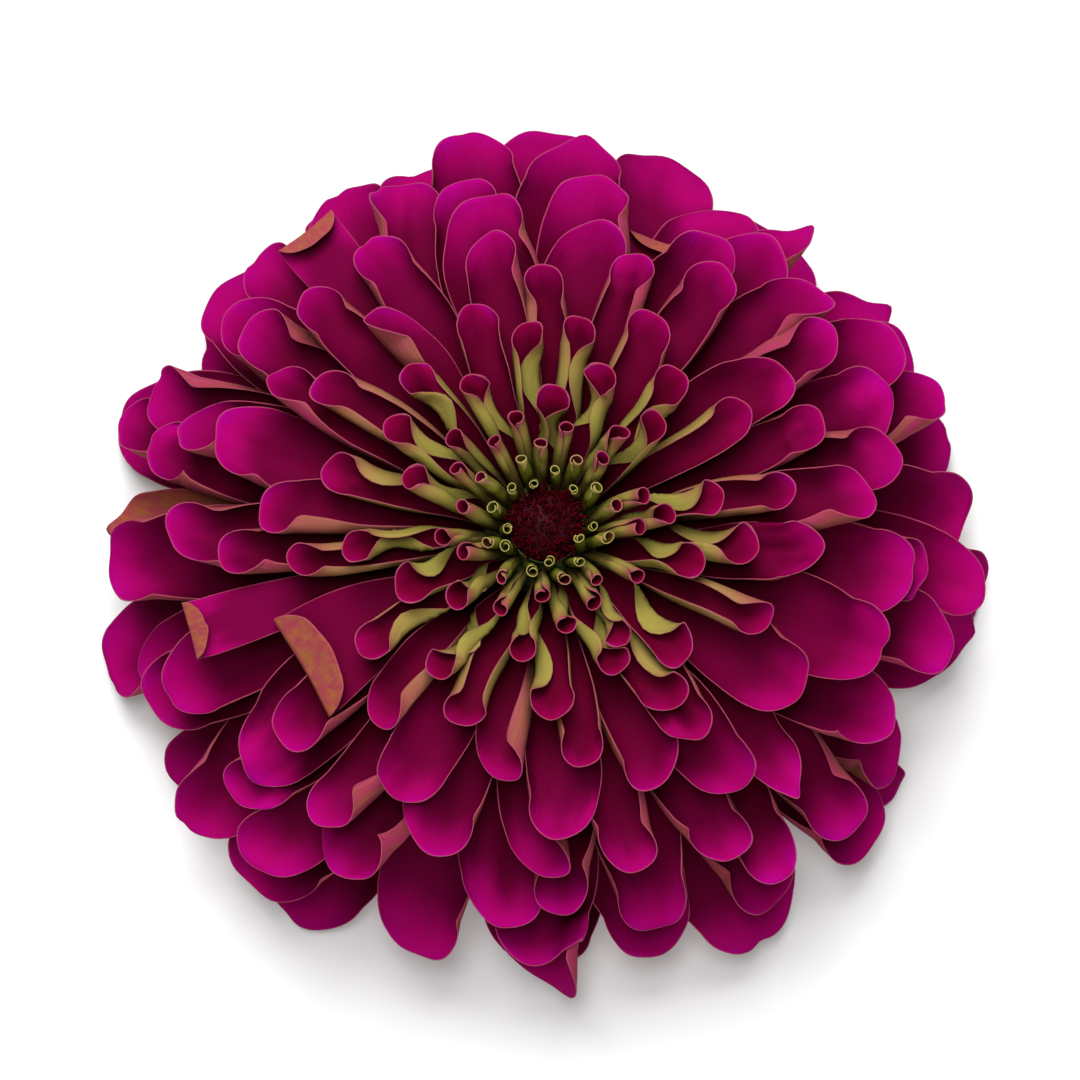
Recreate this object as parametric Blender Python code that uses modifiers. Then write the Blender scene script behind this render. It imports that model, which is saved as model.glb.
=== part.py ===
"""Double zinnia flower head, cut just under its bracts and resting on a surface.

The flower's axis is +Z. The lowest ray florets hang down to the surface at z = 0, beside the cut end of
the stem. All the ray florets sit on one spiral round a conical receptacle: number 0 is the lowest and
outermost, and the last is the innermost quill beside the disc. The lower florets are single pieces. The
upper ones stand so close together that they are joined at the base into whorls.
"""

import cmath
import math

import bmesh
import bpy
import numpy as np
from mathutils import Matrix, Vector

MM = 0.001

# Driving dimensions, in millimetres and degrees.
RAY_COUNT = 185
GOLDEN_ANGLE = 137.508
PETAL_THICKNESS = 0.5
GAP = 0.3

# How a ray floret changes along the spiral, in equal steps from the lowest floret to the innermost.
TIP_RADIUS = (53.5, 54, 52.5, 49, 44.5, 39.2, 33.2, 26.8, 19.5, 13.3, 7.5)
TIP_HEIGHT = (0.2, 8, 15.5, 22, 27.5, 32, 35.5, 38, 39.5, 39.5, 37.5)
WIDTH = (14.5, 14.5, 14, 13.5, 12.5, 11.2, 9.6, 7.4, 5.2, 4.2, 3.6)
RISE_AT_BASE = (12, 19, 27, 35, 43, 50, 56, 61, 65, 68, 72)
CLAW_WIDTH = (2.3, 2.3, 2.3, 2.3, 2.3, 2.2, 2.2, 2.0, 1.7, 1.4, 1.3)
ROLL_OF_MARGIN = (8, 9, 10, 12, 14, 16, 18, 20, 26, 80, 120)
TIP_UNEVENNESS = 0.02
UNEVENNESS_TURNS = (2.4, 0.9)

# The head is a little lopsided: a factor on the tips' radius every 30 degrees round the axis, from +X.
REACH = (0.97, 0.98, 0.93, 0.98, 0.98, 1.02, 0.99, 1.0, 0.97, 0.93, 0.98, 0.98)

# The florets stand on a spiral that climbs the receptacle, a little further at the start of each whorl.
SPIRAL_FOOT = 12.9
CLIMB_PER_FLORET = 0.085
OUTER_SEAT_RADIUS = 9.9
WHORL_SEAT_RADIUS = 8.9
WHORL_STEP_IN = 0.7
WHORL_STEP_UP = 0.35
WHORL_RING_THICKNESS = 0.45
RING_BELOW_FIRST_SEAT = 0.3
RING_ABOVE_LAST_SEAT = 0.15
RING_SEGMENTS = 18

# The lowest florets are single pieces. Each whorl above them holds this many.
SINGLE_FLORETS = 50
WHORL_SIZES = (21, 21, 21, 18, 18, 18, 18)
FIRST_QUILL_WHORL = 5

# The grid of a floret: segments across and along, and the share of the segments below the round tip.
SINGLE_GRID = (4, 5, 3 / 5)
WHORL_GRID = (2, 4, 2 / 4)
QUILL_GRID = (4, 2, 1 / 2)
TIP_LENGTH_PER_WIDTH = 0.5
MOST_TIP_SHARE = 0.45

STEM_RADIUS = 3.6
STEM_TOP = 4.5
NECK_RADIUS = 5.4
NECK_TOP = 6.4
FOOT_OF_CONE = 12.4
SHOULDER_RADIUS = 7.6
SHOULDER_TOP = 9.6
TURNED_SEGMENTS = 24
CUP_RIM_RADIUS = 11.0
CUP_RIM_HEIGHT = 11.8
CUP_THICKNESS = 0.7
CUP_STEPS = 5
BRACT_COUNT = 13
BRACT_NOTCH = 1.0
NOTCH_POWER = 3
CUP_SIDE_POWER = 1.5
CUP_FOOT_RADIUS = 4.6
CUP_FOOT_HEIGHT = 4.7
DISC_RADIUS = 4.3
DISC_FOOT = 31.9
DISC_HEIGHT = 4.2
DISC_ROWS = 6

COLOURS = {
    "outer_petal": (0.42, 0.0, 0.22, 1),
    "inner_petal": (0.26, 0.0, 0.07, 1),
    "quill": (0.34, 0.36, 0.06, 1),
    "disc": (0.07, 0.0, 0.01, 1),
    "bract": (0.16, 0.24, 0.06, 1),
    "stem": (0.24, 0.34, 0.10, 1),
}


def clear_scene():
    for obj in list(bpy.data.objects):
        bpy.data.objects.remove(obj)


def collection(name):
    made = bpy.data.collections.new(name)
    bpy.context.scene.collection.children.link(made)
    return made


def material(name):
    made = bpy.data.materials.new(name)
    made.use_nodes = True
    shader = made.node_tree.nodes["Principled BSDF"]
    shader.inputs["Base Color"].default_value = COLOURS[name]
    shader.inputs["Roughness"].default_value = 0.6
    shader.inputs["Metallic"].default_value = 0.0
    made.diffuse_color = COLOURS[name]
    return made


def add_object(name, bm, parts, finish):
    """A smooth-shaded object from a bmesh whose points are in millimetres."""
    bmesh.ops.scale(bm, vec=(MM, MM, MM), verts=bm.verts)
    mesh = bpy.data.meshes.new(name)
    bm.to_mesh(mesh)
    bm.free()
    mesh.shade_smooth()
    mesh.materials.append(finish)
    obj = bpy.data.objects.new(name, mesh)
    parts.objects.link(obj)
    return obj


def solidify(obj, thickness):
    made = obj.modifiers.new("thickness", "SOLIDIFY")
    made.thickness = thickness * MM
    made.offset = 0
    made.use_even_offset = True


def smooth_step(x):
    return x * x * (3 - 2 * x)


class Floret:
    """The size and lie of one ray floret, worked out from its number on the spiral."""

    def __init__(self, number, seat_radius, seat_height):
        place = number / (RAY_COUNT - 1)
        steps = np.linspace(0, 1, len(WIDTH))

        def at(values):
            return float(np.interp(place, steps, values))

        turn = GOLDEN_ANGLE * number % 360
        reach = float(np.interp(turn, np.linspace(0, 360, len(REACH) + 1), (*REACH, REACH[0])))
        first, second = UNEVENNESS_TURNS
        reach *= 1 + TIP_UNEVENNESS * math.sin(first * number) * math.cos(second * number)
        chord = complex(at(TIP_RADIUS) * reach - seat_radius, at(TIP_HEIGHT) - seat_height)
        self.rise = math.radians(at(RISE_AT_BASE))
        # The midrib is an arc, so its chord slopes half way between its two ends.
        turned = 2 * (self.rise - cmath.phase(chord))
        self.length = abs(chord) * (turned / 2) / math.sin(turned / 2)
        self.bend = -turned / self.length
        self.half_width = at(WIDTH) / 2
        self.claw = at(CLAW_WIDTH) / 2
        self.roll = math.radians(at(ROLL_OF_MARGIN)) / self.half_width
        self.azimuth = math.radians(turn)
        self.seat_radius = seat_radius
        self.seat_height = seat_height

    def outline(self, across, along, straight_share):
        """A point of the flat blade: across runs from -1 to 1, and along from 0 at the claw to 1."""
        tip = TIP_LENGTH_PER_WIDTH * 2 * self.half_width
        tip = min(tip, MOST_TIP_SHARE * self.length)
        if along <= straight_share:
            share = along / straight_share
            half = self.claw + (self.half_width - self.claw) * smooth_step(share)
            return across * half, (self.length - tip) * share
        into_tip = (along - straight_share) / (1 - straight_share)
        x = self.half_width * across * math.sqrt(1 - into_tip**2 / 2)
        y = self.length - tip + tip * into_tip * math.sqrt(1 - across**2 / 2)
        return x, y

    def point(self, x, y):
        """Where a point of the flat blade lies once the midrib is bent and the margins are rolled up."""
        angle = self.rise + self.bend * y
        out = self.seat_radius + (math.sin(angle) - math.sin(self.rise)) / self.bend
        height = self.seat_height - (math.cos(angle) - math.cos(self.rise)) / self.bend
        sideways = math.sin(self.roll * x) / self.roll
        lift = (1 - math.cos(self.roll * x)) / self.roll
        out -= lift * math.sin(angle)
        height += lift * math.cos(angle)
        place = Vector((out, sideways, height))
        return Matrix.Rotation(self.azimuth, 3, "Z") @ place


def add_blade(bm, floret, grid):
    """Adds one floret's open surface to bm."""
    across, along, straight_share = grid
    made = bmesh.ops.create_grid(bm, x_segments=across, y_segments=along, size=1)
    for vert in made["verts"]:
        x, y = floret.outline(vert.co.x, (vert.co.y + 1) / 2, straight_share)
        vert.co = floret.point(x, y)


def single_florets(parts, finish):
    for number in range(SINGLE_FLORETS):
        bm = bmesh.new()
        floret = Floret(number, OUTER_SEAT_RADIUS, SPIRAL_FOOT + CLIMB_PER_FLORET * number)
        add_blade(bm, floret, SINGLE_GRID)
        obj = add_object(f"ray_floret_{number + 1:02d}", bm, parts, finish)
        solidify(obj, PETAL_THICKNESS)


def base_ring(inner, outer, low, high):
    """A closed ring round the axis, which joins the claws of a whorl."""
    bm = bmesh.new()
    corners = ((inner, low), (outer, low), (outer, high), (inner, high))
    loops = []
    for radius, height in corners:
        made = bmesh.ops.create_circle(bm, segments=RING_SEGMENTS, radius=radius)
        bmesh.ops.translate(bm, vec=(0, 0, height), verts=made["verts"])
        loops.append(made["verts"])
    for below, above in zip(loops, loops[1:] + loops[:1]):
        for k in range(RING_SEGMENTS):
            n = (k + 1) % RING_SEGMENTS
            bm.faces.new((below[k], below[n], above[n], above[k]))
    bmesh.ops.recalc_face_normals(bm, faces=bm.faces)
    return bm


def whorl_radius(index):
    return WHORL_SEAT_RADIUS - WHORL_STEP_IN * index


def whorl_height(index, number):
    """The height at which floret number sits, in the whorl with this index."""
    return SPIRAL_FOOT + CLIMB_PER_FLORET * number + WHORL_STEP_UP * (index + 1)


def whorls(parts, cutters, blade_finish, quill_finish):
    first = SINGLE_FLORETS
    for index, size in enumerate(WHORL_SIZES):
        quills = index >= FIRST_QUILL_WHORL
        finish = quill_finish if quills else blade_finish
        inner = whorl_radius(index)
        outer = inner + WHORL_RING_THICKNESS
        bm = bmesh.new()
        for number in range(first, first + size):
            floret = Floret(number, (inner + outer) / 2, whorl_height(index, number))
            add_blade(bm, floret, QUILL_GRID if quills else WHORL_GRID)
        name = f"quill_whorl_{index - FIRST_QUILL_WHORL + 1}" if quills else f"ray_whorl_{index + 1}"
        blades = add_object(f"{name}_blades", bm, cutters, finish)
        solidify(blades, PETAL_THICKNESS)
        blades.hide_render = True
        blades.display_type = "WIRE"
        low = whorl_height(index, first) - RING_BELOW_FIRST_SEAT
        high = whorl_height(index, first + size - 1) + RING_ABOVE_LAST_SEAT
        ring = add_object(name, base_ring(inner, outer, low, high), parts, finish)
        union = ring.modifiers.new("blades", "BOOLEAN")
        union.operation = "UNION"
        union.solver = "EXACT"
        union.use_self = True
        union.object = blades
        first += size


def turned(name, profile, parts, finish):
    """A solid of revolution about Z. The profile starts and ends on the axis and runs from top to bottom."""
    bm = bmesh.new()
    verts = [bm.verts.new((radius, 0, height)) for radius, height in profile]
    for a, b in zip(verts, verts[1:]):
        bm.edges.new((a, b))
    obj = add_object(name, bm, parts, finish)
    screw = obj.modifiers.new("turn", "SCREW")
    screw.steps = TURNED_SEGMENTS
    screw.render_steps = TURNED_SEGMENTS
    screw.use_merge_vertices = True
    screw.merge_threshold = 0.00001
    return obj


def stem_and_receptacle(parts, finish):
    """The stem, cut at z = 0, swells into the cone that carries every floret."""
    cone = []
    first = SINGLE_FLORETS
    for index, size in enumerate(WHORL_SIZES):
        foot = whorl_height(index, first) - RING_BELOW_FIRST_SEAT - GAP
        cone.append((whorl_radius(index) - GAP, foot))
        first += size
    crown = (cone[-1][0], DISC_FOOT - GAP)
    foot_of_cone = (OUTER_SEAT_RADIUS - PETAL_THICKNESS / 2 - GAP, FOOT_OF_CONE)
    neck = [(SHOULDER_RADIUS, SHOULDER_TOP), (NECK_RADIUS, NECK_TOP)]
    stem = [(STEM_RADIUS, STEM_TOP), (STEM_RADIUS, 0), (0, 0)]
    profile = [(0, crown[1]), crown, *reversed(cone), foot_of_cone, *neck, *stem]
    return turned("stem_and_receptacle", profile, parts, finish)


def disc_florets(parts, finish):
    """The dome of packed disc florets and their bracts."""
    profile = []
    for row in range(DISC_ROWS + 1):
        turn = math.pi / 2 * row / DISC_ROWS
        profile.append((DISC_RADIUS * math.sin(turn), DISC_FOOT + DISC_HEIGHT * math.cos(turn)))
    profile.append((0, DISC_FOOT))
    return turned("disc_florets", profile, parts, finish)


def involucre(parts, finish):
    """The cup of overlapping bracts under the florets, with a rim notched between the bract tips."""
    segments = 2 * BRACT_COUNT
    bm = bmesh.new()
    made = bmesh.ops.create_grid(bm, x_segments=segments, y_segments=CUP_STEPS, size=1)
    for vert in made["verts"]:
        turn = math.pi * (vert.co.x + 1)
        up = (vert.co.y + 1) / 2
        radius = CUP_FOOT_RADIUS + (CUP_RIM_RADIUS - CUP_FOOT_RADIUS) * math.sin(math.pi / 2 * up)
        notch = BRACT_NOTCH * up**NOTCH_POWER * (1 - abs(math.cos(BRACT_COUNT * turn / 2)))
        side = CUP_FOOT_HEIGHT + (CUP_RIM_HEIGHT - CUP_FOOT_HEIGHT) * up**CUP_SIDE_POWER
        height = side - notch
        vert.co = (radius * math.cos(turn), radius * math.sin(turn), height)
    bmesh.ops.remove_doubles(bm, verts=bm.verts, dist=0.01)
    bmesh.ops.recalc_face_normals(bm, faces=bm.faces)
    obj = add_object("involucre", bm, parts, finish)
    solidify(obj, CUP_THICKNESS)
    return obj


def centre_on_origin(parts, cutters):
    """Moves the flower sideways so that the middle of its box is on the origin."""
    bpy.context.view_layer.update()
    graph = bpy.context.evaluated_depsgraph_get()
    corners = []
    for obj in parts.objects:
        corners += [Vector(corner) for corner in obj.evaluated_get(graph).bound_box]
    low = Vector(map(min, zip(*corners)))
    high = Vector(map(max, zip(*corners)))
    middle = (low + high) / 2
    for obj in (*parts.objects, *cutters.objects):
        obj.location = (-middle.x, -middle.y, 0)


def main():
    clear_scene()
    parts = collection("zinnia_flower")
    cutters = collection("cutters")
    finishes = {name: material(name) for name in COLOURS}
    stem_and_receptacle(parts, finishes["stem"])
    involucre(parts, finishes["bract"])
    disc_florets(parts, finishes["disc"])
    single_florets(parts, finishes["outer_petal"])
    whorls(parts, cutters, finishes["inner_petal"], finishes["quill"])
    centre_on_origin(parts, cutters)


main()
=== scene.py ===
"""Zinnia flower: the finished look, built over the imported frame.

Lengths are in millimetres while a piece is being shaped, and in metres once it is a mesh. Each ray floret
is shaped as a thin sheet that bends along its midrib and rolls up at its margins. The florets are stacked
from the lowest to the innermost, so that each rests on the ones below it, and then given a thickness.
"""

import cmath
import math

import bpy
import numpy as np
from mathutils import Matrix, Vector
from mathutils.bvhtree import BVHTree

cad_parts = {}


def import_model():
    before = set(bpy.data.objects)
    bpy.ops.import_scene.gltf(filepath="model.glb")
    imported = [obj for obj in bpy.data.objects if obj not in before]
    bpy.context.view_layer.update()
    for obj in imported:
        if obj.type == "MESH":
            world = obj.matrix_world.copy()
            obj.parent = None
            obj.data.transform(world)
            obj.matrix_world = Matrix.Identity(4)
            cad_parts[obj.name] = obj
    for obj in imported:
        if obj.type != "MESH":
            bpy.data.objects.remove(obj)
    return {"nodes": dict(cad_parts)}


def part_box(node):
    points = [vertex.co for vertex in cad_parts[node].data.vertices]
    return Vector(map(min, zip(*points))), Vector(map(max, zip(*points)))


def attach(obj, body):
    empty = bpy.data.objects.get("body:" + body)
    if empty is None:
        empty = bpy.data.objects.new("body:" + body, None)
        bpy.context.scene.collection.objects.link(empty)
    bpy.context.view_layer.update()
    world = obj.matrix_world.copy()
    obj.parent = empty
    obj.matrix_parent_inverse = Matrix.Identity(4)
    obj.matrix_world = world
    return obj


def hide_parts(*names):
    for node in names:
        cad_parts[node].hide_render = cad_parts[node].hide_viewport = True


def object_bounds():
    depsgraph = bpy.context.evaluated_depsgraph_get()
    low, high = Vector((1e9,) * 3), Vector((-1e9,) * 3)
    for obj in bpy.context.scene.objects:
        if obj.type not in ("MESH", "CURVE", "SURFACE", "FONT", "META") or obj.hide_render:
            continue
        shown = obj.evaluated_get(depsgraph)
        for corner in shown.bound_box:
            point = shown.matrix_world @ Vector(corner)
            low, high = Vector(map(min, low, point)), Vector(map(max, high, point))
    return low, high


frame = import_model()
cad_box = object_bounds()

MM = 0.001
SEED = 4107

# How many florets there are and which of them share a node, as in the solids.
RAY_COUNT = 185
GOLDEN_ANGLE = 137.508
SINGLE_FLORETS = 50
WHORL_SIZES = (21, 21, 21, 18, 18, 18, 18)
FIRST_QUILL_WHORL = 5

# From the lowest floret to the innermost, in millimetres and degrees.
TIP_RADIUS = (53.5, 54, 52.5, 49, 44.5, 38.6, 31.6, 23.4, 14.2, 9.2, 4.9)
TIP_HEIGHT = (0.2, 8, 15.5, 22, 27.5, 32, 35.5, 38, 39.2, 38, 36.2)
WIDTH = (17.2, 17.0, 16.6, 15.8, 14.5, 12.6, 10.0, 7.6, 6.4, 4.9, 3.6)
RISE_AT_BASE = (12, 19, 27, 35, 43, 50, 56, 61, 65, 68, 72)
CLAW_WIDTH = (2.3, 2.3, 2.3, 2.3, 2.3, 2.2, 2.2, 2.2, 2.6, 3.2, 3.0)

# How far the head reaches in twelve directions, as a share, anticlockwise from +X.
REACH = (0.97, 0.98, 0.93, 0.98, 0.98, 1.02, 0.99, 1.0, 0.97, 0.93, 0.98, 0.98)

# Where the florets are seated on the receptacle.
SPIRAL_FOOT = 12.9
CLIMB_PER_FLORET = 0.085
SEAT_RADIUS_AT_FOOT = 9.9
SEAT_RADIUS_AT_CROWN = 4.9
INWARD_FROM = 0.25
WHORL_STEP_UP = 0.35

# How much florets differ at random, each way: in millimetres and degrees, or as a share of the size.
AZIMUTH_SPREAD = 8.0
RISE_SPREAD = 2.0
REACH_SPREAD = 0.045
TIP_HEIGHT_SPREAD = 1.0
TIP_LIFT_SPREAD = 22.0
TWIST_SPREAD = 46.0
SIDEWAYS_SPREAD = 0.09
WIDTH_SPREAD = 0.13
TIP_SPREAD = 0.15
SKEW_SPREAD = 0.14
ROLL_SPREAD = 0.28
SIDE_SPREAD = 0.3

# The midrib is traced a little past the tip, which can be pointed, and aimed in a few rounds.
MIDRIB_STEPS = 120
MIDRIB_TRACED = 1.08
AIM_ROUNDS = 8
AIM_GAIN = 1.4

# The grid of a floret, as (columns, rows), and the share of the rows that lies in its tip.
OPEN_GRID = (25, 34)
ROLLED_GRID = (29, 28)
ROLLED_PLACE = 0.6
TIP_ROWS = 0.42
CROSS_STEPS = 32

# How far the margins roll in, in degrees, from the lowest floret to the innermost: low on the blade, half
# way up, where the tip begins and at its end.
ROLL_SHARES = (0, 0.3, 0.62, 0.86, 1)
ROLL_LOW = (60, 60, 65, 70, 80, 95, 115, 150, 200, 250, 270)
ROLL_MIDDLE = (56, 62, 74, 82, 90, 98, 110, 130, 220, 255, 270)
ROLL_AT_TIP = (90, 98, 112, 118, 121, 122, 126, 150, 225, 250, 265)
ROLL_POWER = 1.25
TIP_LIFT = (46, 50, 56, 60, 64, 64, 58, 42, 10, -4, -6)
TIP_FLATNESS = (1.0, 1.0, 1.0, 1.0, 1.0, 1.0, 0.95, 0.9, 0.7, 0.35, 0.15)

# A half-rolled floret turns one margin right over its face, as a strip that shows its back.
FOLD_ANGLE = 172
FOLD_START = 0.2
FOLD_WIDTH = 0.3
FOLD_MIDDLE = 0.68
FOLD_HALF_LENGTH = 0.28
FOLD_POWER = 1.8

# Where along the spiral the folded florets begin, and then the quills.
FOLDED_FROM = 0.61
FOLDED_OVER = 0.08
QUILLS_FROM = 0.78
QUILLS_OVER = 0.03
THICKER_FROM = 0.84
THICKER_OVER = 0.05

THICKNESS = 0.3
QUILL_THICKNESS = 0.4
MARGIN_THICKNESS = 0.1
MARGIN_TAPER = 1.6

# How the florets are stacked.
CLEARANCE = 0.34
STACKED_PLACE = 0.8
NEIGHBOUR_ANGLE = 46
NEIGHBOUR_NUMBERS = 60
RAY_LENGTH_DOWN = 5.0
PRESS_DEPTH = 4.0
MOST_LIFT = 1.8
PRESSED_MARGIN = 4.0
STEEPEST_BLADE = 80
FLOOR_CLEARANCE = 0.35
FLOOR_EASE = 1.5


def along_spiral(values, place):
    """The value at this place on the spiral, from 0 at the lowest floret to 1 at the innermost."""
    return float(np.interp(place, np.linspace(0, 1, len(values)), values))


def smooth(x):
    """A smooth step from 0 to 1."""
    x = np.clip(x, 0.0, 1.0)
    return x * x * (3 - 2 * x)


def centre_of(node):
    """The middle of a node's box, in millimetres."""
    low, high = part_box(node)
    return (Vector(low) + Vector(high)) / 2 / MM


AXIS = centre_of("disc_florets")


class Floret:
    """One ray floret: its size, its lie and the grid of points of its mid-surface."""

    def __init__(self, number):
        self.number = number
        self.rng = np.random.default_rng(SEED + number)
        self.place = number / (RAY_COUNT - 1)
        self.loose = 1 - 0.6 * self.place
        self.tint = self.rng.uniform()
        self.faded = 0.0
        self.faded_back = 0.0
        self.turned_over = False
        self.set_lie()
        self.set_outline()
        self.set_roll()

    def vary(self, amount):
        """A random number up to this amount, each way."""
        return self.rng.uniform(-amount, amount)

    def set_lie(self):
        """Sets where the floret is seated, where its tip is, and how it bends and twists."""
        turn = GOLDEN_ANGLE * self.number
        reach = np.interp(turn % 360, np.linspace(0, 360, len(REACH) + 1), (*REACH, REACH[0]))
        self.azimuth = math.radians(turn + self.vary(AZIMUTH_SPREAD) * self.loose)
        self.rise = math.radians(along_spiral(RISE_AT_BASE, self.place) + self.vary(RISE_SPREAD))
        whorl_starts = SINGLE_FLORETS + np.cumsum((0, *WHORL_SIZES))
        whorl = int(np.searchsorted(whorl_starts, self.number, "right"))
        self.seat_height = SPIRAL_FOOT + CLIMB_PER_FLORET * self.number + WHORL_STEP_UP * whorl
        inward = smooth((self.place - INWARD_FROM) / (1 - INWARD_FROM))
        self.seat_radius = SEAT_RADIUS_AT_FOOT + (SEAT_RADIUS_AT_CROWN - SEAT_RADIUS_AT_FOOT) * inward
        self.tip_radius = along_spiral(TIP_RADIUS, self.place) * reach * (1 + self.vary(REACH_SPREAD))
        self.tip_height = along_spiral(TIP_HEIGHT, self.place) + self.vary(TIP_HEIGHT_SPREAD) * self.loose
        lift = along_spiral(TIP_LIFT, self.place) + self.vary(TIP_LIFT_SPREAD) * self.loose
        self.tip_lift = math.radians(lift)
        self.lift_start = 0.7 + self.vary(0.05)
        self.lift_length = 1 - self.lift_start
        self.twist = math.radians(self.vary(TWIST_SPREAD) * self.loose)
        self.sideways = self.vary(SIDEWAYS_SPREAD)
        self.aim()

    def aim(self):
        """Sets how the midrib bends, and its length, so that it runs from the seat to the tip."""
        chord = complex(self.tip_radius - self.seat_radius, self.tip_height - self.seat_height)
        turned = 2 * (self.rise - cmath.phase(chord))
        self.fall = self.rise - turned
        self.length = float(abs(chord) / np.sinc(turned / 2 / math.pi))
        for _ in range(AIM_ROUNDS):
            _, out, up = self.midrib(self.length)
            got = complex(out, up)
            self.length *= abs(chord) / abs(got)
            self.fall += AIM_GAIN * cmath.phase(chord / got)

    def set_outline(self):
        """Sets the outline of the flat blade. A few florets are pointed, and some outer ones are notched."""
        self.half_width = along_spiral(WIDTH, self.place) / 2 * (1 + self.vary(WIDTH_SPREAD))
        self.claw = along_spiral(CLAW_WIDTH, self.place) / 2
        self.tip = min(self.half_width * (1.1 + self.vary(TIP_SPREAD)), 0.42 * self.length)
        self.flatness = along_spiral(TIP_FLATNESS, self.place)
        self.point = 1.6 * max(0.0, self.vary(1.0) - 0.8)
        deep = max(0.0, self.vary(1.0) - 0.1) * 0.5
        self.notch = deep * self.half_width / 7 * (self.place < 0.5)
        self.notch_at = self.vary(0.35)
        self.skew = self.vary(SKEW_SPREAD)
        self.waves = self.rng.uniform(0, 2 * math.pi, 3)

    def set_roll(self):
        """Sets how far each margin rolls in, how much of it is folded over, and how it ripples."""
        uneven = 1 + self.vary(ROLL_SPREAD)
        rolls = [along_spiral(values, self.place) for values in (ROLL_LOW, ROLL_MIDDLE, ROLL_AT_TIP)]
        quill = float(smooth((self.place - QUILLS_FROM) / QUILLS_OVER))
        folding = float(smooth((self.place - FOLDED_FROM) / FOLDED_OVER)) * (1 - quill)
        uneven = uneven * (1 - quill) + quill
        low, middle, tip = (math.radians(roll) * uneven for roll in rolls)
        self.roll = (0.9 * low, low, middle, tip, 0.9 * tip)
        side = self.rng.choice((-1, 1))
        apart = self.vary(SIDE_SPREAD) * (1 - quill) + 0.12 * side * quill
        self.roll_share = {-1: 1 + apart, 1: 1 - apart}
        power = ROLL_POWER + (1.0 - ROLL_POWER) * quill
        self.power = {-side: power, side: power + 0.25 * quill}
        much = folding * self.rng.uniform(0.85, 1.0)
        little = folding * self.rng.uniform(0, 0.45)
        self.fold = {side: much, -side: little}
        self.fold_start = FOLD_START + self.vary(0.1)
        self.fold_middle = FOLD_MIDDLE + self.vary(0.05)
        self.fold_half_length = FOLD_HALF_LENGTH + self.vary(0.05)
        self.ripple = (1 - 0.8 * self.place) * self.rng.uniform(0.15, 0.6)
        self.ripple_turns = self.rng.uniform(2.0, 3.8)
        self.ripple_start = self.rng.uniform(0, 2 * math.pi, 2)

    def shape(self):
        """Works out the grid: x across and y along the flat blade, the distance to its edge, and points."""
        columns, rows = ROLLED_GRID if self.place > ROLLED_PLACE else OPEN_GRID
        spread = np.linspace(-1, 1, columns)
        a = np.tile(np.sin(spread * math.pi / 2) * 0.5 + spread * 0.5, (rows, 1))
        tip_rows = int(rows * TIP_ROWS)
        straight = np.linspace(0, 1, rows - tip_rows + 1)[:-1]
        share = np.concatenate([straight, np.ones(tip_rows)])[:, None]
        over = np.concatenate([np.zeros(len(straight)), np.linspace(0, 1, tip_rows)])[:, None]
        half = self.claw + (self.half_width - self.claw) * smooth(share) ** 0.9
        x = a * half * np.sqrt(1 - self.flatness * over**2 / 2)
        y = (self.length - self.tip) * share
        y = y + self.tip * over * np.sqrt(1 - self.flatness * a**2 / 2)
        into_tip = np.maximum(0, y - (self.length - self.tip)) / self.tip
        self.half = np.broadcast_to(half, x.shape)
        self.edge = np.maximum(0, 1 - np.hypot(x / self.half, into_tip)) * np.minimum(self.half, self.tip)
        y = y + self.point * over**2 * np.exp(-((a / 0.3) ** 2)) * self.half_width / 3
        y = y - self.notch * over**2 * np.exp(-(((a - self.notch_at) / 0.16) ** 2))
        y = y + self.skew * a * over * self.half_width
        waves = np.sin(3 * a + self.waves[0]) + 0.6 * np.sin(6 * a + self.waves[1])
        y = y + 0.03 * self.half_width * over**2 * waves
        x = x * (1 + 0.035 * np.sin(9 * share + self.waves[2] * np.sign(x)))
        self.x, self.y = x, y
        self.points = self.laid_out(x, y)

    def midrib(self, y):
        """Angle above the horizon, distance out and height of the midrib at each length y."""
        steps = np.linspace(0, self.length * MIDRIB_TRACED, MIDRIB_STEPS)
        share = steps / self.length
        angle = self.rise + (self.fall - self.rise) * share
        angle = angle + self.tip_lift * smooth((share - self.lift_start) / self.lift_length)
        step = steps[1] - steps[0]
        out = np.concatenate([[0], np.cumsum(np.cos(angle[:-1])) * step])
        up = np.concatenate([[0], np.cumsum(np.sin(angle[:-1])) * step])
        return np.interp(y, steps, angle), np.interp(y, steps, out), np.interp(y, steps, up)

    def cross_section(self, x, y):
        """Distance sideways and up from the midrib, once the margins are rolled in."""
        share = y / self.length
        roll = np.interp(share, ROLL_SHARES, self.roll)
        side = np.where(x < 0, self.roll_share[-1], self.roll_share[1])
        power = np.where(x < 0, self.power[-1], self.power[1])
        fold = np.where(x < 0, self.fold[-1], self.fold[1])
        from_middle = (share - self.fold_middle) / self.fold_half_length
        start = self.fold_start + (1 - self.fold_start) * np.abs(from_middle) ** FOLD_POWER
        sideways = np.zeros_like(x)
        lift = np.zeros_like(x)
        for k in range(CROSS_STEPS):
            at = np.abs(x) * (k + 0.5) / CROSS_STEPS / self.half
            turned = roll * side * at**power
            over = math.radians(FOLD_ANGLE) * smooth((at - start) / FOLD_WIDTH)
            turned = turned * (1 - fold) + np.maximum(turned * 0.6, over) * fold
            sideways += np.cos(turned) * x / CROSS_STEPS
            lift += np.sin(turned) * np.abs(x) / CROSS_STEPS
        return sideways, lift

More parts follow.
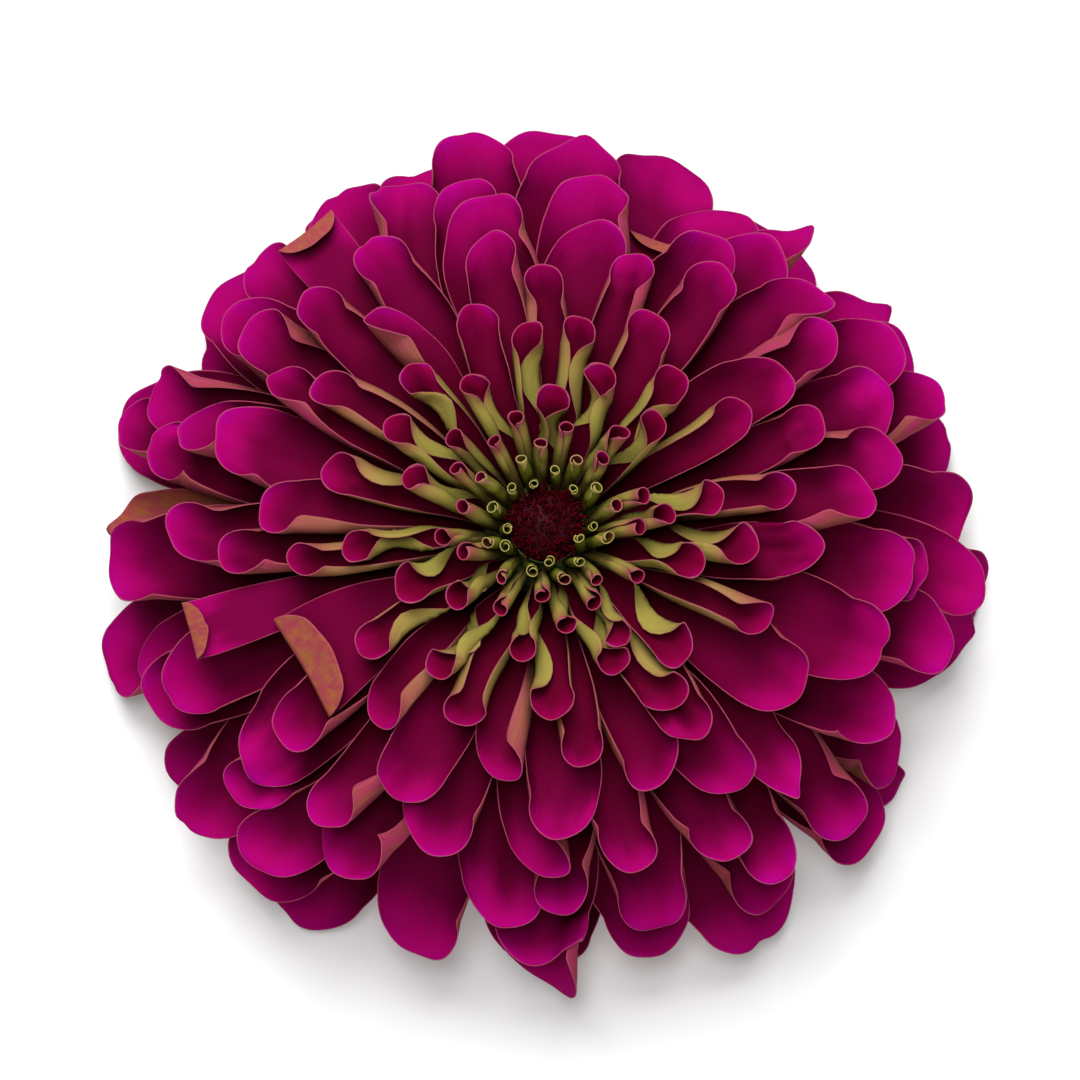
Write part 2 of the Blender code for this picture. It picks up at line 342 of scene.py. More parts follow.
    def laid_out(self, x, y):
        """The points of the flat blade once it is rolled, rippled, twisted, bent and turned."""
        angle, out, up = self.midrib(y)
        sideways, lift = self.cross_section(x, y)
        share = y / self.length
        outward = (np.abs(x) / self.half) ** 2 * smooth((share - 0.25) / 0.4)
        phase = np.where(x < 0, *self.ripple_start)
        lift = lift + self.ripple * outward * np.sin(2 * math.pi * self.ripple_turns * share + phase)
        lift = lift + 0.3 * (1 - self.place) * np.sin(7 * share + self.ripple_start[0]) * np.cos(x / 3)
        twist = self.twist * share**1.5
        turned = sideways * np.cos(twist) - lift * np.sin(twist)
        lift = sideways * np.sin(twist) + lift * np.cos(twist)
        turned = turned + self.sideways * y * share
        radius = self.seat_radius + out - lift * np.sin(angle)
        height = self.seat_height + up + lift * np.cos(angle)
        c, s = math.cos(self.azimuth), math.sin(self.azimuth)
        slope = np.minimum(angle, math.radians(STEEPEST_BLADE))
        if self.turned_over:
            slope = np.zeros_like(angle)
        self.up_from_blade = np.stack([-np.sin(slope) * c, -np.sin(slope) * s, np.cos(slope)], -1)
        return np.stack([radius * c - turned * s, radius * s + turned * c, height], -1)


def grid_faces(rows, columns, start=0):
    """The four-sided faces of a grid of points."""
    k = np.arange(rows - 1)[:, None] * columns + np.arange(columns - 1)[None, :] + start
    return np.stack([k, k + 1, k + columns + 1, k + columns], -1).reshape(-1, 4)


def tree_of(points):
    """A search tree over the surface through a grid of points."""
    rows, columns = points.shape[:2]
    return BVHTree.FromPolygons(points.reshape(-1, 3).tolist(), grid_faces(rows, columns).tolist())


def near(a, b):
    """Whether floret b can lie over floret a."""
    apart = (a.azimuth - b.azimuth + math.pi) % (2 * math.pi) - math.pi
    return abs(apart) < math.radians(NEIGHBOUR_ANGLE) and b.number - a.number < NEIGHBOUR_NUMBERS


def lift_needed(floret, trees):
    """How far each point of the floret must rise to clear the florets below it."""
    reach = RAY_LENGTH_DOWN
    wanted = np.zeros(floret.points.shape[:2])
    for row in range(2, wanted.shape[0]):
        for column in range(wanted.shape[1]):
            up = Vector(floret.up_from_blade[row, column])
            start = Vector(floret.points[row, column]) + up * reach
            for tree in trees:
                hit = tree.ray_cast(start, -up, reach + CLEARANCE)
                if hit[0] is not None:
                    wanted[row, column] = max(wanted[row, column], reach - hit[3] + CLEARANCE)
    return wanted


def sink_needed(floret, above):
    """How far each point of the floret's margin must sink to stay under the one laid over it."""
    wanted = np.zeros(floret.points.shape[:2])
    for row, column in np.argwhere(floret.edge < PRESSED_MARGIN):
        down = -Vector(floret.up_from_blade[row, column])
        hit = above.ray_cast(Vector(floret.points[row, column]), down, PRESS_DEPTH)
        if hit[0] is not None:
            wanted[row, column] = hit[3] + CLEARANCE
    return wanted


def shifted(field):
    """The nine copies of a field that are shifted by up to one row and one column."""
    padded = np.pad(field, 1, mode="edge")
    rows, columns = field.shape
    return [padded[i : i + rows, j : j + columns] for i in range(3) for j in range(3)]


def blurred(field):
    """Each value becomes the mean of the nine round it."""
    return sum(shifted(field)) / 9


def widened(field):
    """Each value becomes the largest of the nine round it."""
    return np.max(shifted(field), axis=0)


def eased(wanted):
    """A smooth field that is nowhere much under the wanted one."""
    wanted = widened(wanted)
    eased_field = wanted
    for _ in range(4):
        eased_field = np.maximum(wanted * 0.95, blurred(eased_field))
    return blurred(blurred(eased_field))


def off_the_floor(points):
    """Raises the lowest points, so that the floret lies on the floor instead of in it."""
    z = points[..., 2]
    low = z < FLOOR_CLEARANCE + FLOOR_EASE
    z[low] = FLOOR_CLEARANCE + FLOOR_EASE * np.exp((z[low] - FLOOR_CLEARANCE - FLOOR_EASE) / FLOOR_EASE)


def stack(florets):
    """Lays each floret over the ones below it: it rises a little, and their margins are pressed down."""
    placed = []
    for floret in florets:
        below = []
        if floret.place < STACKED_PLACE:
            below = [pair for pair in placed if near(pair[0], floret)]
        if below:
            wanted = lift_needed(floret, [tree for _, tree in below])
            lift = np.minimum(eased(wanted), MOST_LIFT)
            if floret.turned_over:
                lift = np.full_like(lift, lift.max())
            lift = lift * smooth((floret.y / floret.length - 0.04) / 0.2)
            floret.points = floret.points + floret.up_from_blade * lift[..., None]
        off_the_floor(floret.points)
        tree = tree_of(floret.points)
        for pair in below:
            if pair[0].turned_over:
                continue
            sink = sink_needed(pair[0], tree)
            if sink.any():
                pair[0].points = pair[0].points - pair[0].up_from_blade * eased(sink)[..., None]
                off_the_floor(pair[0].points)
                pair[1] = tree_of(pair[0].points)
        placed.append([floret, tree])


def normals_of(points):
    """The surface's direction at each point of a grid."""
    along = np.gradient(points, axis=0)
    across = np.gradient(points, axis=1)
    normal = np.cross(along, across)
    return normal / np.maximum(np.linalg.norm(normal, axis=-1, keepdims=True), 1e-9)


def rim_of(rows, columns):
    """The grid's border, as indices in order."""
    grid = np.arange(rows * columns).reshape(rows, columns)
    return np.concatenate([grid[0, :-1], grid[:-1, -1], grid[-1, :0:-1], grid[:0:-1, 0]])


def twice(values):
    """The values of a grid in a row, once for each side of a shell."""
    return np.concatenate([values.reshape(-1)] * 2)


def shell(floret):
    """(points, faces, fields) of the floret with both its sides and its rim."""
    points = floret.points
    rows, columns = points.shape[:2]
    count = rows * columns
    normal = normals_of(points)
    quill = smooth((floret.place - THICKER_FROM) / THICKER_OVER)
    thickness = THICKNESS + (QUILL_THICKNESS - THICKNESS) * quill
    half = MARGIN_THICKNESS + (thickness - MARGIN_THICKNESS) * smooth(floret.edge / MARGIN_TAPER)
    half = half[..., None] / 2
    upper, lower = points + normal * half, points - normal * half
    rim = rim_of(rows, columns)
    after = np.roll(rim, -1)
    top = grid_faces(rows, columns)[:, ::-1]
    bottom = grid_faces(rows, columns, count)
    sides = np.stack([rim, after, after + count, rim + count], -1)
    fields = {
        "along": twice(floret.y / floret.length),
        "across": twice(floret.x / floret.half_width),
        "edge": twice(floret.edge),
        "from_tip": twice(floret.length - floret.y),
        "upper": np.concatenate([np.ones(count), np.zeros(count)]),
        "place": np.full(2 * count, floret.place),
        "tint": np.full(2 * count, floret.tint),
        "faded": np.repeat((floret.faded, max(floret.faded, floret.faded_back)), count),
    }
    both = np.concatenate([upper.reshape(-1, 3), lower.reshape(-1, 3)])
    return both, np.concatenate([top, bottom, sides]), fields


def mesh_object(name, parts, material):
    """One object from several (points, faces, fields), its points in millimetres from the flower's axis."""
    start = 0
    points, faces = [], []
    for part in parts:
        points.append(part[0])
        faces.append(part[1] + start)
        start += len(part[0])
    points = np.concatenate(points) + np.array((AXIS.x, AXIS.y, 0))
    faces = np.concatenate(faces)
    starts = np.arange(0, faces.size, faces.shape[1], dtype=np.int32)
    mesh = bpy.data.meshes.new(name)
    mesh.vertices.add(len(points))
    mesh.vertices.foreach_set("co", (points * MM).astype(np.float32).reshape(-1))
    mesh.loops.add(faces.size)
    mesh.loops.foreach_set("vertex_index", faces.astype(np.int32).reshape(-1))
    mesh.polygons.add(len(faces))
    mesh.polygons.foreach_set("loop_start", starts)
    mesh.update(calc_edges=True)
    mesh.validate()
    for field in parts[0][2]:
        values = np.concatenate([part[2][field] for part in parts]).astype(np.float32)
        mesh.attributes.new(field, "FLOAT", "POINT").data.foreach_set("value", values)
    mesh.shade_smooth()
    mesh.materials.append(material)
    obj = bpy.data.objects.new(name, mesh)
    bpy.context.scene.collection.objects.link(obj)
    return obj


class Nodes:
    """Short names for building a material's nodes."""

    def __init__(self, name):
        self.material = bpy.data.materials.new(name)
        self.material.use_nodes = True
        self.tree = self.material.node_tree
        self.shader = self.tree.nodes["Principled BSDF"]

    def link(self, value, socket):
        """Joins an output to the socket, or sets the socket to a plain value."""
        if isinstance(value, bpy.types.NodeSocket):
            self.tree.links.new(value, socket)
        else:
            socket.default_value = value

    def field(self, name):
        """A value that the mesh holds at each point."""
        node = self.tree.nodes.new("ShaderNodeAttribute")
        node.attribute_name = name
        return node.outputs["Fac"]

    def maths(self, operation, a, b=0.0):
        node = self.tree.nodes.new("ShaderNodeMath")
        node.operation = operation
        for value, socket in zip((a, b), node.inputs):
            self.link(value, socket)
        return node.outputs[0]

    def times(self, a, b):
        return self.maths("MULTIPLY", a, b)

    def ramp(self, value, low, high, to_low=0.0, to_high=1.0):
        """value from low..high to to_low..to_high, smoothly and clamped."""
        node = self.tree.nodes.new("ShaderNodeMapRange")
        node.interpolation_type = "SMOOTHSTEP"
        for given, socket in zip((value, low, high, to_low, to_high), node.inputs):
            self.link(given, socket)
        return node.outputs["Result"]

    def mix(self, share, a, b):
        """The colour that goes from a to b as share goes from 0 to 1."""
        node = self.tree.nodes.new("ShaderNodeMix")
        node.data_type = "RGBA"
        for given, socket in ((share, node.inputs[0]), (a, node.inputs[6]), (b, node.inputs[7])):
            self.link(given, socket)
        return node.outputs[2]

    def vector(self, x, y, z):
        node = self.tree.nodes.new("ShaderNodeCombineXYZ")
        for value, socket in zip((x, y, z), node.inputs):
            self.link(value, socket)
        return node.outputs[0]

    def noise(self, vector, scale, detail=2.0, roughness=0.5):
        node = self.tree.nodes.new("ShaderNodeTexNoise")
        self.link(vector, node.inputs["Vector"])
        node.inputs["Scale"].default_value = scale
        node.inputs["Detail"].default_value = detail
        node.inputs["Roughness"].default_value = roughness
        return node.outputs["Fac"]

    def openness(self, distance):
        """How much of the hemisphere over a point is clear, out to this distance."""
        node = self.tree.nodes.new("ShaderNodeAmbientOcclusion")
        node.samples = 4
        node.inputs["Distance"].default_value = distance
        return node.outputs["AO"]

    def bump(self, height, strength, distance):
        node = self.tree.nodes.new("ShaderNodeBump")
        node.inputs["Strength"].default_value = strength
        node.inputs["Distance"].default_value = distance
        self.link(height, node.inputs["Height"])
        self.link(node.outputs[0], self.shader.inputs["Normal"])

    def set(self, **values):
        """Sets the shader's inputs, with _ for each space in a name."""
        for name, value in values.items():
            self.link(value, self.shader.inputs[name.replace("_", " ")])


# Colours, as linear red, green, blue and alpha.
OUTER_MAGENTA = (0.48, 0.0, 0.245, 1)
INNER_CRIMSON = (0.32, 0.0, 0.10, 1)
# Painted shade: the faces turn to these crimsons away from their tips and in recesses.
SHADED_MAGENTA = (0.41, 0.0, 0.135, 1)
SHADED_CRIMSON = (0.25, 0.0, 0.04, 1)
SHADE_CRIMSON = (0.08, 0.0, 0.01, 1)
# Painted shade at the hidden base of each floret.
BASE_SHADE_PURPLE = (0.05, 0.0, 0.025, 1)
# Painted shade on the lowest florets.
LOW_SHADE_PURPLE = (0.24, 0.0, 0.09, 1)
VIOLET = (0.44, 0.0, 0.30, 1)
VEIN_DARK = (0.22, 0.0, 0.05, 1)
VEIN_BROWN = (0.30, 0.16, 0.04, 1)
RIM_PINK = (0.44, 0.08, 0.13, 1)
RIM_GREEN = (0.50, 0.42, 0.12, 1)
BACK_ROSE = (0.40, 0.035, 0.11, 1)
BACK_BUFF = (0.33, 0.05, 0.07, 1)
BACK_GREEN = (0.34, 0.295, 0.06, 1)
BACK_BLUSH = (0.35, 0.11, 0.07, 1)
TUBE_GREEN = (0.19, 0.22, 0.018, 1)
TUBE_SHADE = (0.10, 0.12, 0.012, 1)
TAN = (0.38, 0.11, 0.045, 1)
DRY_ROSE = (0.36, 0.055, 0.075, 1)
# Painted shade in the recesses of the florets' backs.
BACK_RECESS_SHADE = (0.03, 0.02, 0.004, 1)
OLIVE = (0.20, 0.10, 0.02, 1)
HAIR_DARK = (0.03, 0.0, 0.002, 1)
HAIR_RED = (0.10, 0.002, 0.006, 1)
HAIR_END = (0.15, 0.004, 0.015, 1)
CORE_DARK = (0.02, 0.0, 0.004, 1)
CORE_LIGHT = (0.05, 0.005, 0.01, 1)
STEM_DARK = (0.08, 0.15, 0.03, 1)
STEM_LIGHT = (0.2, 0.3, 0.08, 1)
WHITE = (1, 1, 1, 1)
FLOOR_GREY = (0.9, 0.9, 0.9, 1)

PETAL_ROUGHNESS = 0.75
PETAL_SHINE = 0.03
# How far the ambient occlusion looks, for the painted shade in recesses.
RECESS_SHADE_DISTANCE = 0.012
BUMP_HEIGHT = 0.0003


class PetalNodes(Nodes):
    """The values that a petal's colours are made from."""

    def __init__(self, name):
        super().__init__(name)
        self.along, self.across = self.field("along"), self.field("across")
        self.edge, self.upper = self.field("edge"), self.field("upper")
        self.place, self.tint = self.field("place"), self.field("tint")
        self.faded = self.field("faded")
        across, along, tint = self.across, self.along, self.tint
        lengthwise = self.vector(self.times(across, 14.0), self.times(along, 1.8), self.times(tint, 91.0))
        self.broad = self.vector(self.times(across, 2.2), self.times(along, 5.0), self.times(tint, 37.0))
        self.veins = self.noise(lengthwise, 1.0, 3.0)
        self.blotch = self.noise(self.broad, 1.0, 3.0)
        # How open each point is, which the colours use to paint shade into recesses.
        self.clear = self.openness(RECESS_SHADE_DISTANCE)


def face_colour(n):
    """Magenta to crimson, varied and veined. Painted shade turns it crimson and darker away from each tip,
    where the florets above cover it, and darker on the lowest florets, near the base, in recesses and inside
    the tubes.
    """
    face = n.mix(n.ramp(n.place, 0.42, 0.78), OUTER_MAGENTA, INNER_CRIMSON)
    face = n.mix(n.ramp(n.tint, 0.45, 1.0, 0.0, 0.5), face, VIOLET)
    face = n.mix(n.ramp(n.tint, 0.45, 0.0, 0.0, 0.4), face, VEIN_DARK)
    face = n.mix(n.times(n.ramp(n.blotch, 0.45, 0.8), 0.15), face, VIOLET)
    # Painted shade: the lowest florets are darkened towards a dim purple.
    face = n.mix(n.ramp(n.place, 0.35, 0.0, 0.0, 0.6), face, LOW_SHADE_PURPLE)
    face = n.mix(n.ramp(n.veins, 0.4, 0.75, 0.0, 0.16), face, VEIN_DARK)
    # Painted shade: the face turns crimson and then dark away from its tip, where the florets above cover
    # it.
    inward = n.times(n.maths("ABSOLUTE", n.across), -4.5)
    painted_shade_depth = n.maths("ADD", n.field("from_tip"), n.maths("ADD", inward, n.times(n.blotch, 5.0)))
    painted_shade_depth = n.times(painted_shade_depth, n.ramp(n.place, 0.3, 0.75, 1.0, 1.7))
    shaded_tone = n.mix(n.ramp(n.place, 0.42, 0.78), SHADED_MAGENTA, SHADED_CRIMSON)
    face = n.mix(n.ramp(painted_shade_depth, -0.5, 4.5), face, shaded_tone)
    face = n.mix(n.ramp(painted_shade_depth, 3.0, 10.0, 0.0, 0.7), face, SHADE_CRIMSON)
    # Painted shade: the lower part of each floret, seen in the gaps between florets, goes nearly black.
    face = n.mix(n.ramp(n.along, 0.6, 0.3), face, BASE_SHADE_PURPLE)
    # Painted shade: the face turns dark crimson where the ambient occlusion finds it shut in.
    face = n.mix(n.ramp(n.clear, 0.2, 0.85, 0.95, 0.0), face, SHADE_CRIMSON)
    return n.mix(n.ramp(n.place, 0.9, 0.95), face, TUBE_SHADE)


def back_colour(n):
    """Rose to buff on the open florets, yellow-green on the rolled ones and lime-green on the tubes, with
    painted shade in recesses.
    """
    back = n.mix(n.ramp(n.blotch, 0.35, 0.65), BACK_ROSE, BACK_BUFF)
    tipward = n.maths("ADD", n.along, n.times(n.blotch, 0.5))
    young = n.mix(n.ramp(tipward, 0.9, 1.3), BACK_GREEN, BACK_BLUSH)
    young = n.mix(n.ramp(n.place, 0.85, 0.92), young, TUBE_GREEN)
    back = n.mix(n.ramp(n.place, 0.52, 0.7), back, young)
    back = n.mix(n.ramp(n.veins, 0.45, 0.7, 0.0, 0.35), back, VEIN_BROWN)
    # Painted shade: the back turns nearly black where it is shut in.
    return n.mix(n.ramp(n.clear, 0.1, 0.7, 0.85, 0.0), back, BACK_RECESS_SHADE)


def dry_colour(n):
    """Mottled tan, olive and rose, for the florets that have faded."""
    grain = n.vector(n.times(n.across, 5.0), n.times(n.along, 22.0), n.tint)
    mottle = n.noise(grain, 1.0, 4.0, 0.7)
    dry = n.mix(n.ramp(n.blotch, 0.5, 0.8, 0.0, 0.6), TAN, OLIVE)
    return n.mix(n.ramp(mottle, 0.38, 0.62), dry, DRY_ROSE)


def petal_material(name):
    """The one material of all florets, which differ by the values that their points hold."""
    n = PetalNodes(name)
    colour = n.mix(n.ramp(n.upper, 0.45, 0.55), back_colour(n), face_colour(n))
    colour = n.mix(n.faded, colour, dry_colour(n))
    # The rim is partly the margin's own paler colour and partly painted highlight, where the thin edge
    # catches light.
    rim = n.mix(n.ramp(n.place, 0.86, 0.95), RIM_PINK, RIM_GREEN)
    colour = n.mix(n.ramp(n.edge, 0.08, 0.02, 0.0, 0.8), colour, rim)
    n.set(Base_Color=colour, Roughness=PETAL_ROUGHNESS, Specular_IOR_Level=PETAL_SHINE)
    height = n.maths("ADD", n.veins, n.times(n.noise(n.broad, 7.0, 2.0), 0.5))
    n.bump(height, 0.22, BUMP_HEIGHT)
    return n.material


def plain_material(name, dark, light, scale, roughness):
    """A dull material, mottled between two colours."""
    n = Nodes(name)
    coordinates = n.tree.nodes.new("ShaderNodeTexCoord").outputs["Object"]
    grain = n.noise(coordinates, scale, 4.0)
    n.set(Base_Color=n.mix(n.ramp(grain, 0.35, 0.65), dark, light), Roughness=roughness)
    n.set(Specular_IOR_Level=0.1)
    n.bump(grain, 0.4, BUMP_HEIGHT)
    return n.material


def at(florets, azimuth, radius):
    """The floret whose tip is nearest to this place."""
    wanted = cmath.rect(radius, math.radians(azimuth))
    return min(florets, key=lambda floret: abs(cmath.rect(floret.tip_radius, floret.azimuth) - wanted))


def move_to(floret, azimuth, radius):
    """Puts the floret's tip at this place."""
    floret.azimuth = math.radians(azimuth)
    floret.tip_radius = radius
    floret.aim()


def turn_tip_over(floret, azimuth, radius, width, flap, faded):
    """Folds the end of the floret back over its face, where its dry back shows."""
    floret.turned_over = True
    floret.tip_height += 2.5
    floret.half_width = width / 2
    floret.tip = min(floret.tip, flap * 1.15)
    floret.faded_back = faded
    floret.fold = {-1: 0.0, 1: 0.0}
    floret.roll = tuple(math.radians(angle) for angle in (60, 60, 26, -6, -14))
    floret.twist = 0.0
    floret.ripple = 0.0
    floret.skew = 0.0
    floret.tip_lift = math.radians(160)
    floret.lift_length = 1.6 / floret.length
    floret.lift_start = 1 - (flap + 1.2) / floret.length
    move_to(floret, azimuth, radius - flap)


# The florets whose tips are folded over: azimuth, radius, width, length of the flap, how dry it is.
TURNED_OVER = (
    (210, 34, 13.5, 4.6, 1.0),
    (196, 44, 7, 2.4, 1.0),
    (72, 42, 8, 3.6, 0.9),
    (129, 47.5, 8, 3.0, 0.8),
)
# The pointed florets: azimuth, radius, how dry, and their share of the usual width.
POINTED = (
    (179, 52, 1.0, 0.7),
    (54, 49.5, 0.0, 0.8),
    (38, 51, 0.0, 0.8),
    (316, 42, 0.0, 0.8),
)
# One floret stands nearly on its side, and one of the lowest is violet: azimuth and radius.
STANDING = (129, 32)
VIOLET_FLORET = (301, 54)


def odd_florets(florets):
    """Changes the few florets that differ from their neighbours."""
    for azimuth, radius, width, flap, faded in TURNED_OVER:
        turn_tip_over(at(florets, azimuth, radius), azimuth, radius, width, flap, faded)
    for azimuth, radius, faded, narrowing in POINTED:
        floret = at(florets, azimuth, radius)
        floret.tip_height += 4 * faded
        floret.tip_lift *= 1 - faded
        move_to(floret, azimuth, radius)
        floret.point = 1.0
        floret.half_width *= narrowing
        floret.faded = faded
    standing = at(florets, *STANDING)
    standing.tip_height += 3.0
    move_to(standing, *STANDING)
    standing.roll = tuple(math.radians(angle) for angle in (60, 75, 80, 80, 60))
    standing.power = {-1: 0.4, 1: 0.4}
    standing.twist = math.radians(60)
    standing.tint = 1.0
    at(florets, *VIOLET_FLORET).tint = 1.0


def petals():
    """Shapes and stacks all the florets, then makes one piece for each node that holds some."""
    florets = [Floret(number) for number in range(RAY_COUNT)]
    odd_florets(florets)
    for floret in florets:
        floret.shape()
    stack(florets)
    material = petal_material("petal")
    for floret in florets[:SINGLE_FLORETS]:
        node = f"ray_floret_{floret.number + 1:02d}"
        piece = mesh_object(f"petal_{floret.number + 1:02d}", [shell(floret)], material)
        settle(piece, "outer_petal", node)
    first = SINGLE_FLORETS
    for index, size in enumerate(WHORL_SIZES):
        quills = index >= FIRST_QUILL_WHORL
        node = f"quill_whorl_{index - FIRST_QUILL_WHORL + 1}" if quills else f"ray_whorl_{index + 1}"
        parts = [shell(floret) for floret in florets[first : first + size]]
        piece = mesh_object(f"petals_of_{node}", parts, material)
        settle(piece, "quill" if quills else "inner_petal", node)
        first += size


def settle(piece, slot, *nodes):
    """Attaches a piece to the root body and hides the nodes that it stands for."""
    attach(piece, "root")
    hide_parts(*nodes)


def turned(name, profile, segments, material):
    """A solid of revolution: profile is (radius, height) from the bottom to the top."""
    profile = np.array(profile, float)
    angle = np.linspace(0, 2 * math.pi, segments + 1)
    ring = np.stack([np.cos(angle), np.sin(angle)], -1)
    around = profile[:, None, :1] * ring[None]
    heights = np.repeat(profile[:, None, 1:], segments + 1, 1)
    points = np.concatenate([around, heights], -1)
    part = (points.reshape(-1, 3), grid_faces(len(profile), segments + 1), {})
    return mesh_object(name, [part], material)


# The hairs of the disc, in millimetres. HAIR_FOOT and CORE_TOP are shares of the height of the disc.
HAIR_COUNT = 330
HAIR_STEPS = 5
HAIR_SIDES = 3
HAIR_LENGTH = (1.0, 1.9)
HAIR_WIDTH = 0.34
HAIR_TIP_RADIUS = 0.02
HAIR_BEND = 0.55
HAIR_LEAN = 0.5
HAIR_STRAY = 0.25
HAIR_FOOT = 0.72
CORE_TOP = 0.8
CORE_SEGMENTS = 32
CORE_GRAIN = 900


def tapered_hair(rng, start, direction, length, width):
    """A curved three-sided hair, as (points, faces, fields)."""
    steps, sides = HAIR_STEPS, HAIR_SIDES
    bend = rng.normal(0, HAIR_BEND, 3)
    rows = []
    position = np.array(start, float)
    direction = np.array(direction, float)
    for k in range(steps):
        share = k / (steps - 1)
        across = np.cross(direction, (0.3, 0.5, 0.8))
        across /= np.linalg.norm(across)
        other = np.cross(direction, across)
        radius = width / 2 * (1 - share) ** 0.6 + HAIR_TIP_RADIUS
        for s in range(sides):
            turn = 2 * math.pi * s / sides
            rows.append(position + radius * (across * math.cos(turn) + other * math.sin(turn)))
        direction = direction + bend / (steps - 1)
        direction /= np.linalg.norm(direction)
        position = position + direction * length / (steps - 1)
    faces = []
    for k in range(steps - 1):
        for s in range(sides):
            after = (s + 1) % sides
            low, high = k * sides, (k + 1) * sides
            faces.append((low + s, low + after, high + after, high + s))
    fields = {
        "tint": np.full(len(rows), rng.uniform()),
        "along": np.repeat(np.linspace(0, 1, steps), sides),
    }
    return np.array(rows), np.array(faces), fields


def disc_material():
    """Dark maroon hairs, a little lighter at their ends."""
    n = Nodes("disc")
    shade = n.mix(n.field("tint"), HAIR_DARK, HAIR_RED)
    shade = n.mix(n.ramp(n.field("along"), 0.5, 1.0, 0.0, 0.4), shade, HAIR_END)
    n.set(Base_Color=shade, Roughness=1.0, Specular_IOR_Level=0.0)
    return n.material


def disc_hairs(radius, foot, height):
    """Hairs all over the dome of the disc, on a golden-angle spiral."""
    rng = np.random.default_rng(SEED)
    hairs = []
    for k in range(HAIR_COUNT):
        share = (k + 0.5) / HAIR_COUNT
        turn = math.radians(GOLDEN_ANGLE * k)
        out = math.sqrt(share)
        up = math.sqrt(max(0.0, 1 - (out * 0.98) ** 2))
        c, s = math.cos(turn), math.sin(turn)
        start = (radius * out * c, radius * out * s, foot + height * up * HAIR_FOOT)
        direction = np.array((HAIR_LEAN * out * c, HAIR_LEAN * out * s, 1.0)) + rng.normal(0, HAIR_STRAY, 3)
        direction = direction / np.linalg.norm(direction)
        length = rng.uniform(*HAIR_LENGTH)
        hairs.append(tapered_hair(rng, start, direction, length, HAIR_WIDTH))
    return hairs


def disc():
    """A dark domed core with a tuft of hairs over it."""
    low, high = (np.array(corner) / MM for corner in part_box("disc_florets"))
    radius = (high - low)[0] / 2
    foot = low[2]
    height = (high - low)[2]
    material = disc_material()
    piece = mesh_object("disc_tuft", disc_hairs(radius, foot, height), material)
    settle(piece, "disc", "disc_florets")
    angles = np.linspace(0, math.pi / 2, 10)
    profile = [(radius * math.cos(a), foot + height * CORE_TOP * math.sin(a)) for a in angles]
    dull = plain_material("disc_core", CORE_DARK, CORE_LIGHT, CORE_GRAIN, 0.8)
    core = turned("disc_core", profile, CORE_SEGMENTS, dull)
    settle(core, "disc", "disc_florets")


def underside():
    """The solids of the stem and the bracts stay as they are, in green."""
    for node, slot in (("stem_and_receptacle", "stem"), ("involucre", "bract")):
        obj = frame["nodes"][node]
        obj.data.materials.clear()
        obj.data.materials.append(plain_material(node, STEM_DARK, STEM_LIGHT, 500, 0.6))


# The stage, in metres and watts. The floor glows more and more away from the flower, so that it stays white.
FLOOR_HALF_SIZE = 6.0
GLOW_NEAR = 0.12
GLOW_FAR = 0.88
GLOW_FROM = 0.15
GLOW_TO = 1.2
BACKDROP = 0.9
AMBIENT = 0.06
LIT_PLACE = (0, 0, 0.02)

# The lamps: name, place, diameter and power.
LAMPS = (
    ("key", (-0.12, 0.6, 1.1), 0.8, 15),
    ("top", (-0.1, 0.0, 1.5), 0.5, 7),
    ("front", (0.25, -0.9, 0.7), 0.7, 3),
)

# The camera: degrees above the horizon, and metres.
CAMERA_ELEVATION = 80
CAMERA_DISTANCE = 0.7
VIEW_WIDTH = 0.1305
AIMED_BELOW_MIDDLE = 0.004
SENSOR_MM = 36
CLIP_END = 30


def stage():
    """The white surface that the flower rests on."""
    mesh = bpy.data.meshes.new("floor")
    size = FLOOR_HALF_SIZE
    corners = [(-size, -size, 0), (size, -size, 0), (size, size, 0), (-size, size, 0)]
    mesh.from_pydata(corners, [], [(0, 1, 2, 3)])
    floor = bpy.data.objects.new("floor", mesh)
    bpy.context.scene.collection.objects.link(floor)
    n = Nodes("floor")
    n.set(Base_Color=FLOOR_GREY, Roughness=0.9, Specular_IOR_Level=0.1)
    coordinates = n.tree.nodes.new("ShaderNodeTexCoord").outputs["Object"]
    away = n.tree.nodes.new("ShaderNodeVectorMath")
    away.operation = "LENGTH"
    n.link(coordinates, away.inputs[0])
    glow = n.ramp(away.outputs["Value"], GLOW_FROM, GLOW_TO, GLOW_NEAR, GLOW_FAR)
    n.set(Emission_Color=WHITE, Emission_Strength=glow)
    mesh.materials.append(n.material)


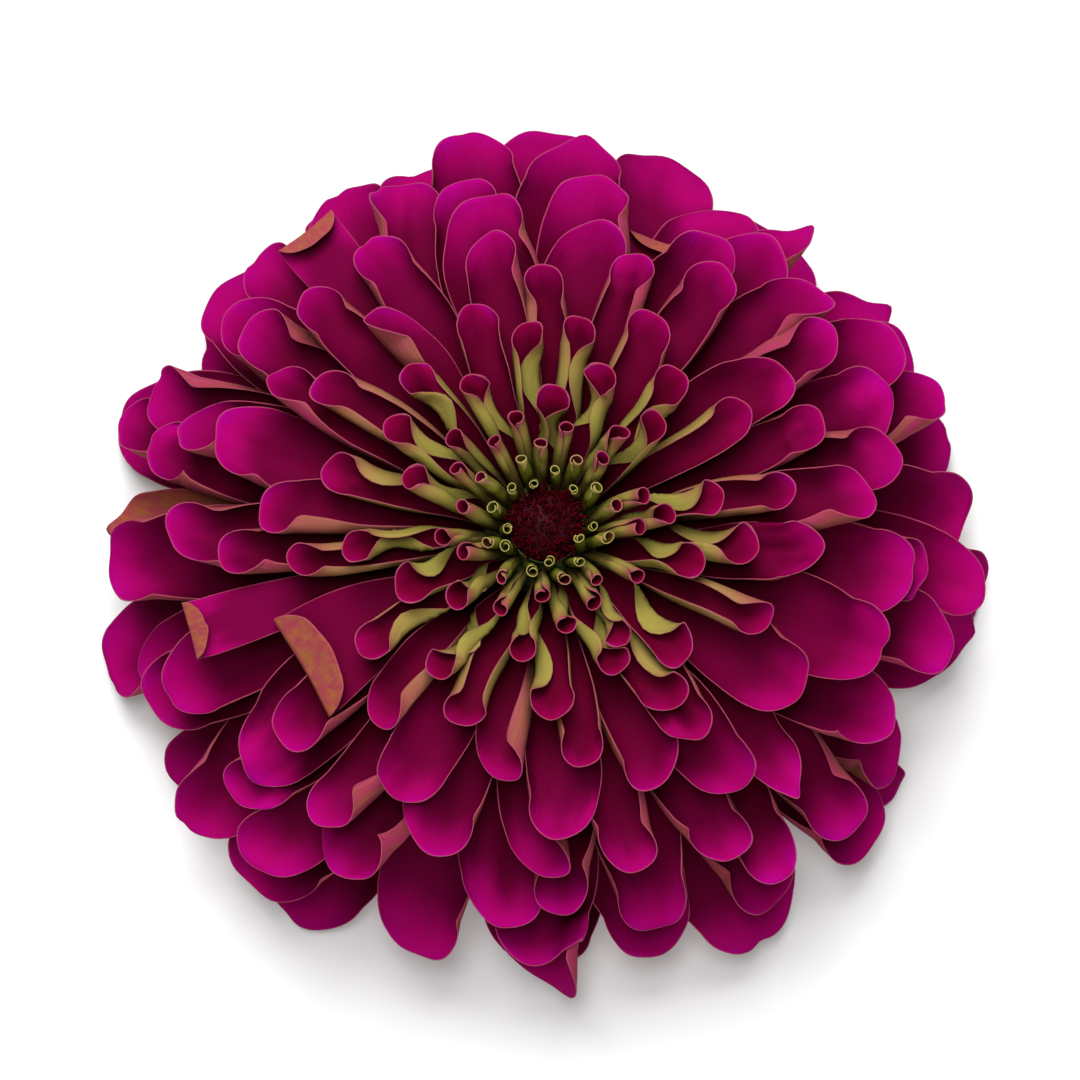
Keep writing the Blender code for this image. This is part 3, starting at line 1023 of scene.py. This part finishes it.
def light(name, place, size, power):
    """A round lamp that shines at the flower."""
    data = bpy.data.lights.new(name, "AREA")
    data.shape = "DISK"
    data.size = size
    data.energy = power
    obj = bpy.data.objects.new(name, data)
    obj.location = place
    obj.rotation_euler = (Vector(LIT_PLACE) - Vector(place)).to_track_quat("-Z", "Y").to_euler()
    bpy.context.scene.collection.objects.link(obj)


def world():
    """A white surrounding that the camera sees bright and the flower sees dim."""
    surrounding = bpy.data.worlds.new("studio")
    surrounding.use_nodes = True
    tree = surrounding.node_tree
    backdrop = tree.nodes["Background"]
    backdrop.inputs["Strength"].default_value = BACKDROP
    ambient = tree.nodes.new("ShaderNodeBackground")
    ambient.inputs["Strength"].default_value = AMBIENT
    for background in (backdrop, ambient):
        background.inputs["Color"].default_value = WHITE
    seen = tree.nodes.new("ShaderNodeLightPath")
    mixed = tree.nodes.new("ShaderNodeMixShader")
    tree.links.new(seen.outputs["Is Camera Ray"], mixed.inputs["Fac"])
    tree.links.new(ambient.outputs[0], mixed.inputs[1])
    tree.links.new(backdrop.outputs[0], mixed.inputs[2])
    tree.links.new(mixed.outputs[0], tree.nodes["World Output"].inputs["Surface"])
    bpy.context.scene.world = surrounding


def camera():
    """Looks steeply down at the flower from the front, through a long lens."""
    elevation, distance = math.radians(CAMERA_ELEVATION), CAMERA_DISTANCE
    low, high = (Vector(corner) for corner in cad_box)
    target = (low + high) / 2 + Vector((0, 0, -AIMED_BELOW_MIDDLE))
    data = bpy.data.cameras.new("camera")
    data.sensor_width = SENSOR_MM
    data.lens = SENSOR_MM * distance / VIEW_WIDTH
    data.clip_end = CLIP_END
    obj = bpy.data.objects.new("camera", data)
    obj.location = target + distance * Vector((0, -math.cos(elevation), math.sin(elevation)))
    obj.rotation_euler = (target - obj.location).to_track_quat("-Z", "Y").to_euler()
    bpy.context.scene.collection.objects.link(obj)
    bpy.context.scene.camera = obj


def colour_management():
    """Shows the colours as they are, with no film look."""
    view = bpy.context.scene.view_settings
    view.view_transform = "Standard"
    view.look = "None"
    view.exposure = 0.0


petals()
disc()
underside()
stage()
for lamp in LAMPS:
    light(*lamp)
world()
camera()
colour_management()
